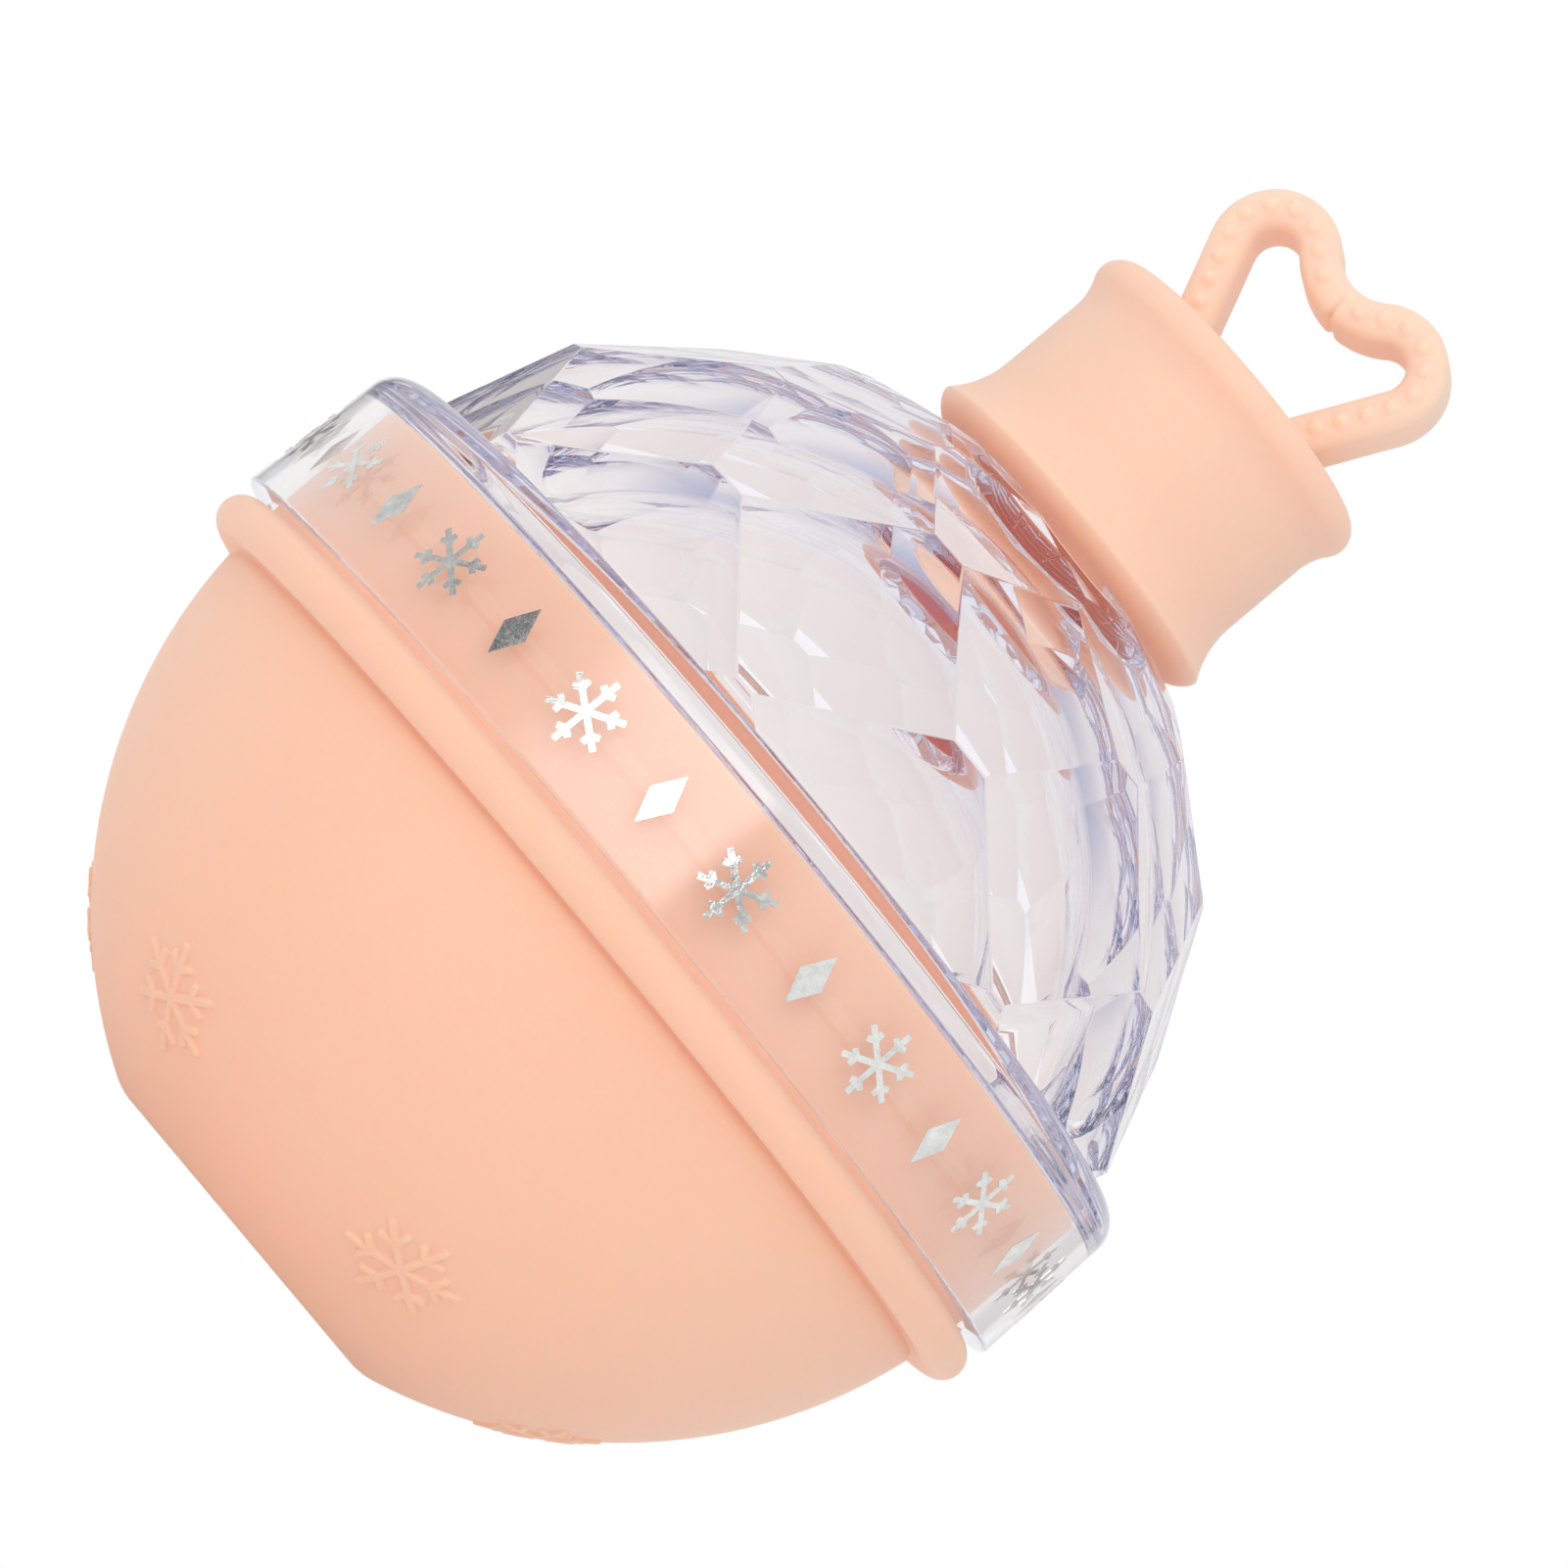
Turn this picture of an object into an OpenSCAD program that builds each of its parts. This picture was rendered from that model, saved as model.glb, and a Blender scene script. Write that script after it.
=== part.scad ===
// Ice ball mold shaped like a hanging ornament: a soft bowl, a clear faceted dome
// with a wide band that pushes over the bowl's collar, and a soft cap with a heart loop.
// Millimetres, +Z up, origin at the middle of the flat foot.

/* [Ball] */
// Diameter of the ice ball that the two halves close round
ball_d = 63; // [54:0.5:70]
// Thickness of the bowl under the ball
floor_wall = 4.8; // [3.5:0.1:8]

/* [Bowl] */
// Thickness of the bowl's side
bowl_wall = 4; // [3.2:0.1:6]
// Radius of the flat foot
foot_r = 12.3; // [9:0.1:15]
// Thickness of the collar that the band pushes over
collar_wall = 4; // [3:0.1:6]
// Height of the collar's rim above the middle of the ball
collar_rise = 6; // [4:0.1:9]
// Height of the rounded bead below the band
bead_h = 3.1; // [2:0.1:4]
// Height of the sealing rib round the collar
rib_h = 1; // [0.6:0.1:2]
// How far the sealing rib stands out of the collar
rib_out = 0.2; // [0.1:0.05:0.4]

/* [Band] */
// Wall of the clear band at its lower edge
band_wall = 2.1; // [1.4:0.1:3]
// Length of the band below the shoulder
band_drop = 9.7; // [7.5:0.1:12]
// How much the band's outside draws in towards the shoulder
band_draft = 0.35; // [0:0.05:0.6]
// Thickness of the shoulder
shoulder_t = 2.8; // [2:0.1:4]
// Radius of the shoulder's outer corner
shoulder_round = 2.2; // [1:0.1:2.6]

/* [Dome] */
// How far the ball that the facets touch is larger than the ice ball
facet_over = 2; // [1.6:0.1:4]
// Height of that ball's middle above the ice ball's
facet_lift = 2.9; // [2:0.1:4]
// Number of facets round each row
facet_count = 8; // [7:1:12]
// Lean of the lowest row of facets
side_lean = 4.6; // [2:0.2:8]
// How far the lowest row is cut into that ball
side_cut = 0.9; // [0.6:0.1:1.2]
// Lean of the second row of facets
facet_lean = 29.9; // [28:0.1:32]
// How much more each row above it leans
facet_step = 13.9; // [13:0.1:14.5]
// Height of the lowest facet corners above the shoulder
tip_rise = 1.4; // [0.8:0.1:2.5]
// Lean of the small facets under those corners
tip_lean = 25; // [15:1:35]
// Turn of the facets about the axis, from the front of the heart
facet_turn = 7; // [0:0.5:45]

/* [Neck] */
// Bore of the filling neck
neck_bore = 14.4; // [10:0.2:16]
// Wall of the filling neck
neck_wall = 2.2; // [1.4:0.1:3]
// Height of the neck above the cap's seat
neck_h = 12.8; // [9:0.1:16]
// Least width of the cap's seat round the neck, outside the cap's bore
seat_w = 0.4; // [0.2:0.05:0.8]

/* [Cap] */
// Wall of the cap at its waist
cap_wall = 2; // [1.5:0.1:3]
// Thickness of the cap's top
cap_roof = 3.2; // [2:0.1:5]
// How far the top rim stands out of the waist
rim_out = 0.9; // [0.5:0.05:1.4]
// Radius of the rounded top rim
rim_round = 1.5; // [1.2:0.1:2]
// Radius of the hollow under the top rim
rim_flare = 4.4; // [3:0.1:6]
// How far the lower lip stands out of the waist
lip_out = 1.4; // [0.8:0.05:2]
// Height of the lip's edge above the cap's seat
lip_h = 1.5; // [1:0.1:1.9]
// Radius of the rounded underside of the lip
lip_round = 2.3; // [2:0.1:3]
// Radius of the hollow above the lower lip
lip_flare = 7; // [5:0.1:9]

/* [Heart loop] */
// Width of the heart over its two lobes
heart_w = 20.2; // [17:0.1:22]
// Height of the heart above the cap
heart_h = 12.6; // [11:0.1:15]
// Width of the strip, seen from the front
strip_w = 2.9; // [2.2:0.1:3.4]
// Depth of the strip, front to back
strip_t = 5.4; // [3.5:0.1:7]
// Radius of the strip's soft edges
strip_round = 0.9; // [0.4:0.1:1]
// Radius of a lobe at the middle of the strip
lobe_r = 3.15; // [2.6:0.05:3.6]
// Depth of the dip between the lobes, at the middle of the strip
dip = 2.15; // [1.6:0.05:2.6]
// Distance between the middles of the two legs on the cap
legs_apart = 10.2; // [8.5:0.1:12]

/* [Fits] */
// Clearance between the band and the collar's rib
band_gap = 0.3; // [0.2:0.05:0.5]
// Clearance between the band's lower edge and the bead
bead_gap = 0.6; // [0.3:0.05:1]
// Clearance between the cap and the neck
cap_gap = 0.25; // [0.15:0.05:0.4]
// Clearance between the top of the neck and the inside of the cap
roof_gap = 0.4; // [0.2:0.05:1]

/* [Hidden] */
$fn = 96;
peach = [0.98, 0.77, 0.65];
clear = [0.9, 0.9, 0.95, 0.45];

// Heights of the ball, the bowl and the band
ball_r = ball_d / 2;
ball_z = floor_wall + ball_r;
bowl_r = ball_r + bowl_wall;
bowl_z = sqrt(bowl_r * bowl_r - foot_r * foot_r);
collar_r = ball_r + collar_wall;
collar_z = ball_z + collar_rise;
band_in = collar_r + rib_out + band_gap;
band_r = band_in + band_wall;
band_z = collar_z - band_drop;
rib_z = (band_z + collar_z) / 2;
bead_top = band_z - bead_gap;
bead_round = bead_h / 2;
shoulder_r = band_r - band_draft;
shoulder_z = collar_z + shoulder_t;
// The corner leaves a little of the shoulder's edge straight
corner_r = min(shoulder_round, 0.9 * shoulder_t);
corner_z = shoulder_z - corner_r;

// Rows of facets, each as [lean, distance from the ball's middle, turn]: the small ones
// under the lowest corners, the lowest row, then the rows that touch the ball
facet_r = ball_r + facet_over;
facet_z = ball_z + facet_lift;
half_turn = 180 / facet_count;
tip_up = shoulder_z + tip_rise - facet_z;
tip_r = (facet_r - tip_up * sin(facet_lean)) / cos(facet_lean);
top_lean = facet_lean + 3 * facet_step;
facet_rows = concat(
    [[-tip_lean, tip_r * cos(tip_lean) - tip_up * sin(tip_lean), 0]],
    [[side_lean, facet_r - side_cut, half_turn]],
    [for (k = [0 : 3]) [facet_lean + k * facet_step, facet_r, k % 2 * half_turn]]);

// Neck and cap. The seat lies where the top facets leave it its least width.
neck_r = neck_bore / 2 + neck_wall;
cap_bore = neck_r + cap_gap;
seat_r = cap_bore + seat_w;
seat_z = facet_z + (facet_r - seat_r * cos(top_lean)) / sin(top_lean);
neck_z = seat_z + neck_h;
waist_r = cap_bore + cap_wall;
cap_h = neck_h + roof_gap + cap_roof;
cap_z = seat_z + cap_h;
rim_r = waist_r + rim_out;
lip_r = waist_r + lip_out;

// Middle line of the heart's right half: leg, lobe, then half of the dip
lobe_x = heart_w / 2 - strip_w / 2 - lobe_r;
lobe_z = heart_h - strip_w / 2 - lobe_r;
dip_z = heart_h - strip_w / 2 - dip;
dip_rise = dip_z - lobe_z;
dip_r = (lobe_x * lobe_x + dip_rise * dip_rise - lobe_r * lobe_r) / (2 * (lobe_r - dip_rise));
leg_x = legs_apart / 2;
leg_reach = norm([lobe_x - leg_x, lobe_z]);
leg_lean = asin(lobe_r / leg_reach) + atan2(lobe_x - leg_x, lobe_z);
dip_turn = atan2(lobe_x, dip_rise + dip_r);
// Angle between two rings of the swept strip, and steps in each soft edge
bend_step = 10;
corner_steps = 3;

// Size of the blocks that trim other shapes
far = 2 * band_r;

// Half plane on the outer side of the axis, for profiles that are turned round it
module outer_half() {
    intersection() {
        children();
        translate([0, -far]) square([far, 2 * far]);
    }
}

module turned() {
    rotate_extrude() outer_half() children();
}

module ball_profile() {
    translate([0, ball_z]) circle(ball_r);
}

// Round outside of the bowl, cut flat at the foot and ended inside the bead
module bowl_outside() {
    intersection() {
        translate([0, bowl_z]) circle(bowl_r);
        square([far, bead_top - bead_round]);
    }
}

module bead_profile() {
    translate([band_r - bead_round, bead_top - bead_round]) circle(bead_round);
    translate([0, bead_top - bead_h]) square([band_r - bead_round, bead_h]);
}

module collar_profile() {
    translate([0, bead_top - bead_round]) square([collar_r, collar_z - bead_top + bead_round]);
    translate([0, rib_z - rib_h / 2]) square([collar_r + rib_out, rib_h]);
}

module silicone_bowl() {
    color(peach) turned() difference() {
        union() {
            bowl_outside();
            bead_profile();
            collar_profile();
        }
        ball_profile();
    }
}

// Band with its draft, and the shoulder with its rounded outer corner
module band_profile() {
    polygon([[band_in, band_z], [band_r, band_z], [shoulder_r, corner_z], [band_in, corner_z]]);
    intersection() {
        translate([shoulder_r - corner_r, corner_z]) circle(corner_r);
        translate([0, corner_z]) square([far, corner_r]);
    }
    translate([0, collar_z]) square([shoulder_r - corner_r, shoulder_t]);
    translate([0, collar_z]) square([shoulder_r, shoulder_t - corner_r]);
}

// Many-sided cone from the shoulder's underside to the cap's seat, with one row of facets as its sides
module facet_cone(lean, reach, turn) {
    function side(z) = (reach - (z - facet_z) * sin(lean)) / cos(lean) / cos(half_turn);
    translate([0, 0, collar_z]) rotate([0, 0, turn + half_turn])
        cylinder(r1 = side(collar_z), r2 = side(seat_z), h = seat_z - collar_z, $fn = facet_count);
}

module facet_block() {
    rotate([0, 0, facet_turn - 90]) intersection_for (row = facet_rows)
        facet_cone(row[0], row[1], row[2]);
}

module clear_dome() {
    color(clear) difference() {
        union() {
            turned() band_profile();
            facet_block();
            translate([0, 0, ball_z]) cylinder(r = neck_r, h = neck_z - ball_z);
        }
        turned() ball_profile();
        translate([0, 0, ball_z]) cylinder(d = neck_bore, h = far);
    }
}

// Spool: rounded top rim and flared lower lip, each hollowed into the waist
module cap_profile() {
    rim_mid = [rim_r - rim_round, cap_h - rim_round];
    rim_hollow = [waist_r + rim_flare, rim_mid[1]
        - sqrt(pow(rim_flare + rim_round, 2) - pow(waist_r + rim_flare - rim_mid[0], 2))];
    lip_mid = lip_r - sqrt(pow(lip_round, 2) - pow(lip_round - lip_h, 2));
    lip_hollow = [waist_r + lip_flare, lip_h + sqrt(pow(lip_flare, 2) - pow(lip_flare - lip_out, 2))];
    translate([0, lip_h]) square([waist_r, cap_h - lip_h - rim_round]);
    translate([0, cap_h - rim_round]) square([rim_mid[0], rim_round]);
    translate(rim_mid) circle(rim_round);
    difference() {
        translate([0, rim_hollow[1]]) square([rim_r, rim_mid[1] - rim_hollow[1]]);
        translate(rim_hollow) circle(rim_flare);
    }
    difference() {
        union() {
            square([lip_mid, lip_h]);
            intersection() {
                translate([lip_mid, lip_round]) circle(lip_round);
                square([far, lip_h]);
            }
            translate([0, lip_h]) square([lip_r, lip_hollow[1] - lip_h]);
        }
        translate(lip_hollow) circle(lip_flare);
    }
}

module neck_cap() {
    color(peach) translate([0, 0, seat_z]) difference() {
        turned() cap_profile();
        translate([0, 0, -1]) cylinder(r = cap_bore, h = cap_h - cap_roof + 1);
    }
}

// Soft-edged section of the strip: [across, depth] points, corner by corner
function strip_section() = [for (corner = [0 : 3], i = [0 : corner_steps])
    let (
        a = 90 * (corner + i / corner_steps),
        sx = corner == 0 || corner == 3 ? 1 : -1,
        sy = corner < 2 ? 1 : -1)
    [sx * (strip_w / 2 - strip_round) + strip_round * cos(a),
        sy * (strip_t / 2 - strip_round) + strip_round * sin(a)]];

// Points of an arc in the heart's plane, each with the direction out of its centre
function arc(x, z, radius, from, to) =
    let (n = ceil(abs(to - from) / bend_step))
    [for (i = [0 : n]) let (a = from + (to - from) * i / n)
        [[x + radius * cos(a), z + radius * sin(a)], [cos(a), sin(a)]]];

// Strip of the heart swept from the right leg's foot over both lobes to the left leg's foot
module heart_strip() {
    lobe = arc(lobe_x, lobe_z, lobe_r, -leg_lean, 90 + dip_turn);
    dip = arc(0, dip_z + dip_r, -dip_r, 90 + dip_turn, 90 - dip_turn);
    function flip(p) = [[-p[0][0], p[0][1]], [-p[1][0], p[1][1]]];
    middle = [for (i = [1 : len(dip) - 2]) dip[i]];
    path = concat(lobe, middle, [for (i = [len(lobe) - 1 : -1 : 0]) flip(lobe[i])]);
    section = strip_section();
    // A foot is cut level with the cap: across the strip it runs along X alone
    function foot(side) = [for (q = section)
        [side * (leg_x + q[0] / cos(leg_lean)), q[1], 0]];
    rings = concat([foot(1)],
        [for (p = path) [for (q = section)
            [p[0][0] + q[0] * p[1][0], q[1], p[0][1] + q[0] * p[1][1]]]],
        [foot(-1)]);
    m = len(section);
    last = len(rings) - 1;
    sides = [for (k = [0 : last - 1], i = [0 : m - 1])
        [k * m + i, k * m + (i + 1) % m, (k + 1) * m + (i + 1) % m, (k + 1) * m + i]];
    ends = [[for (i = [m - 1 : -1 : 0]) i], [for (i = [0 : m - 1]) last * m + i]];
    polyhedron([for (ring = rings, q = ring) q], concat(sides, ends));
}

module heart_loop() {
    color(peach) translate([0, 0, cap_z]) heart_strip();
}

silicone_bowl();
clear_dome();
neck_cap();
heart_loop();
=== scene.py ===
"""Looks of an ice ball mold: matte peach silicone bowl, cap and heart loop, and a clear
faceted dome whose band carries a row of silver foil marks. Sizes are in millimetres and
are turned into metres where a mesh is made."""

import math

import bmesh
import bpy
from mathutils import Matrix, Vector


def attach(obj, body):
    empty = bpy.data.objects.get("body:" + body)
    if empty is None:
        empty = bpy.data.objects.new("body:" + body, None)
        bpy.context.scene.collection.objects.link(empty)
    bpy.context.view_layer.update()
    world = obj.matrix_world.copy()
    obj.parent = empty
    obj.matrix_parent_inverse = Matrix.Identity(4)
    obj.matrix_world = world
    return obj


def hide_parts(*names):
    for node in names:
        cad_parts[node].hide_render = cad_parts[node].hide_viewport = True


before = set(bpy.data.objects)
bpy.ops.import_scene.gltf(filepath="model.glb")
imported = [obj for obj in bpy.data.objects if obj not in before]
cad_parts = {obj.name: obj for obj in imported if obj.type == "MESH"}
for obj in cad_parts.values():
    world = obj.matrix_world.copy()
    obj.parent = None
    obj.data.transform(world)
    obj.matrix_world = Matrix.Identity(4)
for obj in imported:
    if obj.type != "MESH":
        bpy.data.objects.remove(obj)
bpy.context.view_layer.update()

MM = 0.001
ROUND_STEPS = 192  # faces round the axis
ARMS = 6  # of every flake, raised or in foil
AIR = 0.03  # thin air between faces that rest on each other
ON_AXIS = 1e-6  # a smaller radius lies on the axis
ON_PLANE = 1e-5  # points this close to a cutting plane lie on it
ON_LEVEL = 1e-3  # points this close to a height lie at it
WHITE = (1.0, 1.0, 1.0)

# Sizes of the CAD source
BALL_R = 31.5
FLOOR_WALL = 4.8
BOWL_WALL = 4.0
FOOT_R = 12.3
COLLAR_WALL = 4.0
COLLAR_RISE = 6.0
BEAD_H = 3.1
RIB_H = 1.0
RIB_OUT = 0.2
BAND_WALL = 2.1
BAND_DROP = 9.7
BAND_DRAFT = 0.35
SHOULDER_T = 2.8
SHOULDER_ROUND = 2.2
FACET_OVER = 2.0
FACET_LIFT = 2.9
FACET_COUNT = 8
SIDE_LEAN = 4.6
SIDE_CUT = 0.9
FACET_LEAN = 29.9
FACET_STEP = 13.9
TIP_RISE = 1.4
TIP_LEAN = 25.0
FACET_TURN = 7.0
NECK_BORE = 14.4
NECK_WALL = 2.2
NECK_H = 12.8
SEAT_W = 0.4
CAP_WALL = 2.0
CAP_ROOF = 3.2
RIM_OUT = 0.9
RIM_ROUND = 1.5
RIM_FLARE = 4.4
LIP_OUT = 1.4
LIP_H = 1.5
LIP_ROUND = 2.3
LIP_FLARE = 7.0
HEART_W = 20.2
HEART_H = 12.6
STRIP_W = 2.9
STRIP_T = 5.4
LOBE_R = 3.15
DIP = 2.15
LEGS_APART = 10.2
BAND_GAP = 0.3
BEAD_GAP = 0.6
CAP_GAP = 0.25
ROOF_GAP = 0.4

# Heights and radii that follow from them
FACET_ROWS = 4  # rows that touch the facets' ball
BALL_Z = FLOOR_WALL + BALL_R
BOWL_R = BALL_R + BOWL_WALL
BOWL_Z = math.sqrt(BOWL_R**2 - FOOT_R**2)
COLLAR_R = BALL_R + COLLAR_WALL
COLLAR_Z = BALL_Z + COLLAR_RISE
BAND_IN = COLLAR_R + RIB_OUT + BAND_GAP
BAND_R = BAND_IN + BAND_WALL
BAND_Z = COLLAR_Z - BAND_DROP
RIB_Z = (BAND_Z + COLLAR_Z) / 2
BEAD_TOP = BAND_Z - BEAD_GAP
BEAD_ROUND = BEAD_H / 2
SHOULDER_R = BAND_R - BAND_DRAFT
SHOULDER_Z = COLLAR_Z + SHOULDER_T
CORNER_Z = SHOULDER_Z - SHOULDER_ROUND
FACET_R = BALL_R + FACET_OVER
FACET_Z = BALL_Z + FACET_LIFT
TOP_LEAN = FACET_LEAN + (FACET_ROWS - 1) * FACET_STEP
NECK_R = NECK_BORE / 2 + NECK_WALL
CAP_BORE = NECK_R + CAP_GAP
SEAT_Z = FACET_Z + (
    FACET_R - (CAP_BORE + SEAT_W) * math.cos(math.radians(TOP_LEAN))
) / math.sin(math.radians(TOP_LEAN))
NECK_Z = SEAT_Z + NECK_H
WAIST_R = CAP_BORE + CAP_WALL
CAP_H = NECK_H + ROOF_GAP + CAP_ROOF
CAP_Z = SEAT_Z + CAP_H
RIM_R = WAIST_R + RIM_OUT
LIP_R = WAIST_R + LIP_OUT


# Mesh helpers


def turn(x, y, degrees):
    """The point (x, y) turned about the origin."""
    a = math.radians(degrees)
    return x * math.cos(a) - y * math.sin(a), x * math.sin(a) + y * math.cos(a)


def arc(centre, radius, start, end, steps):
    """Points of an arc from one angle to another, in degrees, both ends included."""
    angles = [math.radians(start + (end - start) * i / steps) for i in range(steps + 1)]
    return [(centre[0] + radius * math.cos(a), centre[1] + radius * math.sin(a)) for a in angles]


def softened(points, steps=5):
    """A path of (r, z, radius) corners, each rounded by its radius, as (r, z) points."""
    path = []
    for i, (r, z, radius) in enumerate(points):
        here = Vector((r, z))
        if radius == 0 or i in (0, len(points) - 1):
            path.append((r, z))
            continue
        back = (Vector(points[i - 1][:2]) - here).normalized()
        on = (Vector(points[i + 1][:2]) - here).normalized()
        half = back.angle(on) / 2
        reach = radius / math.tan(half)
        centre = here + (back + on).normalized() * (radius / math.sin(half))
        start, end = here + back * reach - centre, here + on * reach - centre
        sweep = start.angle_signed(end)
        for k in range(steps + 1):
            x, y = turn(start.x, start.y, -math.degrees(sweep) * k / steps)
            path.append((centre.x + x, centre.y + y))
    return path


def lathe_bmesh(profile, closed=True):
    """A bmesh of the (r, z) profile turned round the axis. A closed profile that starts off
    the axis joins its last ring to its first."""
    bm = bmesh.new()
    angles = [360 * i / ROUND_STEPS for i in range(ROUND_STEPS)]
    rings = []
    for r, z in profile:
        if r < ON_AXIS:
            rings.append([bm.verts.new((0, 0, z))] * ROUND_STEPS)
        else:
            rings.append([bm.verts.new((*turn(r, 0, a), z)) for a in angles])
    pairs = list(zip(rings, rings[1:]))
    if closed and profile[0][0] > ON_AXIS:
        pairs.append((rings[-1], rings[0]))
    for low, high in pairs:
        for i in range(ROUND_STEPS):
            j = (i + 1) % ROUND_STEPS
            corners = list(dict.fromkeys((low[i], low[j], high[j], high[i])))
            if len(corners) > 2:
                bm.faces.new(corners)
    return bm


def all_of(bm):
    """Every vertex, edge and face of a bmesh."""
    return bm.verts[:] + bm.edges[:] + bm.faces[:]


def join(bm, other):
    """Adds the other bmesh to the first and frees it."""
    mesh = bpy.data.meshes.new("joined")
    other.to_mesh(mesh)
    other.free()
    bm.from_mesh(mesh)
    bpy.data.meshes.remove(mesh)


def add_piece(name, bm, material, body):
    """Makes a smooth piece of a millimetre bmesh, which rides on a body and takes the finish
    of a material slot."""
    bmesh.ops.recalc_face_normals(bm, faces=bm.faces)
    bmesh.ops.scale(bm, vec=(MM, MM, MM), verts=bm.verts)
    mesh = bpy.data.meshes.new(name)
    bm.to_mesh(mesh)
    bm.free()
    mesh.materials.append(material)
    mesh.shade_smooth()
    obj = bpy.data.objects.new(name, mesh)
    bpy.context.scene.collection.objects.link(obj)
    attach(obj, body)
    return obj


# Materials

BOWL_PEACH = ((0.955, 0.572, 0.414), (0.972, 0.590, 0.430))
# The cap and the heart are painted paler than the bowl: painted light, as where more light falls on
# them
LIT_CAP_PEACH = ((0.965, 0.610, 0.460), (0.980, 0.630, 0.478))
LIT_HEART_PEACH = ((0.975, 0.670, 0.522), (0.988, 0.690, 0.540))  # painted paler still: painted extra light on the thin strip
# Painted shade: the cap's lip is painted deeper orange low down, as shaded silicone glows
LIP_SHADE_TINT = (1.0, 0.84, 0.71)
LIP_SHADE_HEIGHT = 1.3  # height of the painted shade at the cap's lip
# Painted shade: the bore's inside is painted dark red
BORE_SHADE_TINT = (1.0, 0.42, 0.33)
CLEAR = ((0.985, 0.982, 0.992), (0.998, 0.996, 1.0))
CLEAR_DEPTH = (0.60, 0.66, 0.88)  # what thick plastic turns light to
CLEAR_DENSITY = 16
SILVER = ((0.68, 0.68, 0.67), (0.93, 0.93, 0.90))


def new_material(name):
    """A material with nodes, its node tree and its shader."""
    material = bpy.data.materials.new(name)
    material.use_nodes = True
    tree = material.node_tree
    return material, tree, tree.nodes["Principled BSDF"]


def add_noise(tree, scale, detail, roughness=0.5):
    """Noise over object coordinates, with its scale in waves per metre."""
    coords = tree.nodes.new("ShaderNodeTexCoord")
    noise = tree.nodes.new("ShaderNodeTexNoise")
    noise.inputs["Scale"].default_value = scale
    noise.inputs["Detail"].default_value = detail
    noise.inputs["Roughness"].default_value = roughness
    tree.links.new(coords.outputs["Object"], noise.inputs["Vector"])
    return noise.outputs["Fac"]


def stops(tree, factor, colours):
    """A colour ramp through (position, colour) stops, driven by a factor."""
    node = tree.nodes.new("ShaderNodeValToRGB")
    elements = node.color_ramp.elements
    while len(elements) < len(colours):
        elements.new(0.5)
    for element, (position, colour) in zip(elements, colours):
        element.position = position
        element.color = (*colour, 1)
    tree.links.new(factor, node.inputs["Fac"])
    return node.outputs["Color"]


def ramp(tree, factor, low, high, start=0.3, end=0.7):
    """A colour ramp between two colours, driven by a factor."""
    return stops(tree, factor, [(start, low), (end, high)])


def times(tree, a, b):
    """Product of two colours."""
    node = tree.nodes.new("ShaderNodeVectorMath")
    node.operation = "MULTIPLY"
    tree.links.new(a, node.inputs[0])
    tree.links.new(b, node.inputs[1])
    return node.outputs["Vector"]


def from_range(tree, value, low, high):
    """Maps a range of values to 0-1."""
    node = tree.nodes.new("ShaderNodeMapRange")
    node.inputs["From Min"].default_value = low
    node.inputs["From Max"].default_value = high
    tree.links.new(value, node.inputs["Value"])
    return node.outputs["Result"]


def to_range(tree, factor, low, high):
    """Maps a factor from 0-1 to a range of values."""
    node = tree.nodes.new("ShaderNodeMapRange")
    node.inputs["To Min"].default_value = low
    node.inputs["To Max"].default_value = high
    tree.links.new(factor, node.inputs["Value"])
    return node.outputs["Result"]


def height_of(tree, coordinates):
    """Z of the object's coordinates, or of the ray in a world's generated ones."""
    coords = tree.nodes.new("ShaderNodeTexCoord")
    split = tree.nodes.new("ShaderNodeSeparateXYZ")
    tree.links.new(coords.outputs[coordinates], split.inputs["Vector"])
    return split.outputs["Z"]


def add_bump(tree, shader, height, depth, strength):
    """Bumps the shader's normal by a height factor, depth in metres."""
    bump = tree.nodes.new("ShaderNodeBump")
    bump.inputs["Strength"].default_value = strength
    bump.inputs["Distance"].default_value = depth
    tree.links.new(height, bump.inputs["Height"])
    tree.links.new(bump.outputs["Normal"], shader.inputs["Normal"])


def any_ray(tree, *kinds):
    """1 for rays of any of the kinds that Light Path names."""
    path = tree.nodes.new("ShaderNodeLightPath")
    total = path.outputs[kinds[0]]
    for kind in kinds[1:]:
        node = tree.nodes.new("ShaderNodeMath")
        node.operation = "MAXIMUM"
        tree.links.new(total, node.inputs[0])
        tree.links.new(path.outputs[kind], node.inputs[1])
        total = node.outputs["Value"]
    return total


def silicone_material(name, shades, painted_shade=None):
    """Matte peach silicone: light passes a little way in, so creases glow orange. The last
    argument, a tint and a pair of heights between which it fades out upwards, is painted shade
    and glow for what is lit through clear plastic and silicone."""
    material, tree, shader = new_material(name)
    colour = ramp(tree, add_noise(tree, scale=60, detail=3), *shades)
    if painted_shade:
        # Painted shade: tinted at the low height, fading out by the high one
        tint, low, high = painted_shade
        rise = from_range(tree, height_of(tree, "Object"), low * MM, high * MM)
        colour = times(tree, colour, ramp(tree, rise, tint, WHITE, start=0, end=1))
    tree.links.new(colour, shader.inputs["Base Color"])
    grain = add_noise(tree, scale=900, detail=4)
    tree.links.new(to_range(tree, grain, 0.48, 0.62), shader.inputs["Roughness"])
    shader.inputs["Subsurface Weight"].default_value = 0.5
    shader.inputs["Subsurface Radius"].default_value = (1.0, 0.3, 0.15)
    shader.inputs["Subsurface Scale"].default_value = 0.003
    shader.inputs["Specular IOR Level"].default_value = 0.35
    shader.inputs["Sheen Weight"].default_value = 0.12
    shader.inputs["Sheen Roughness"].default_value = 0.5
    pores = add_noise(tree, scale=5000, detail=3, roughness=0.6)
    add_bump(tree, shader, pores, depth=0.00002, strength=0.5)
    return material


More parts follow.
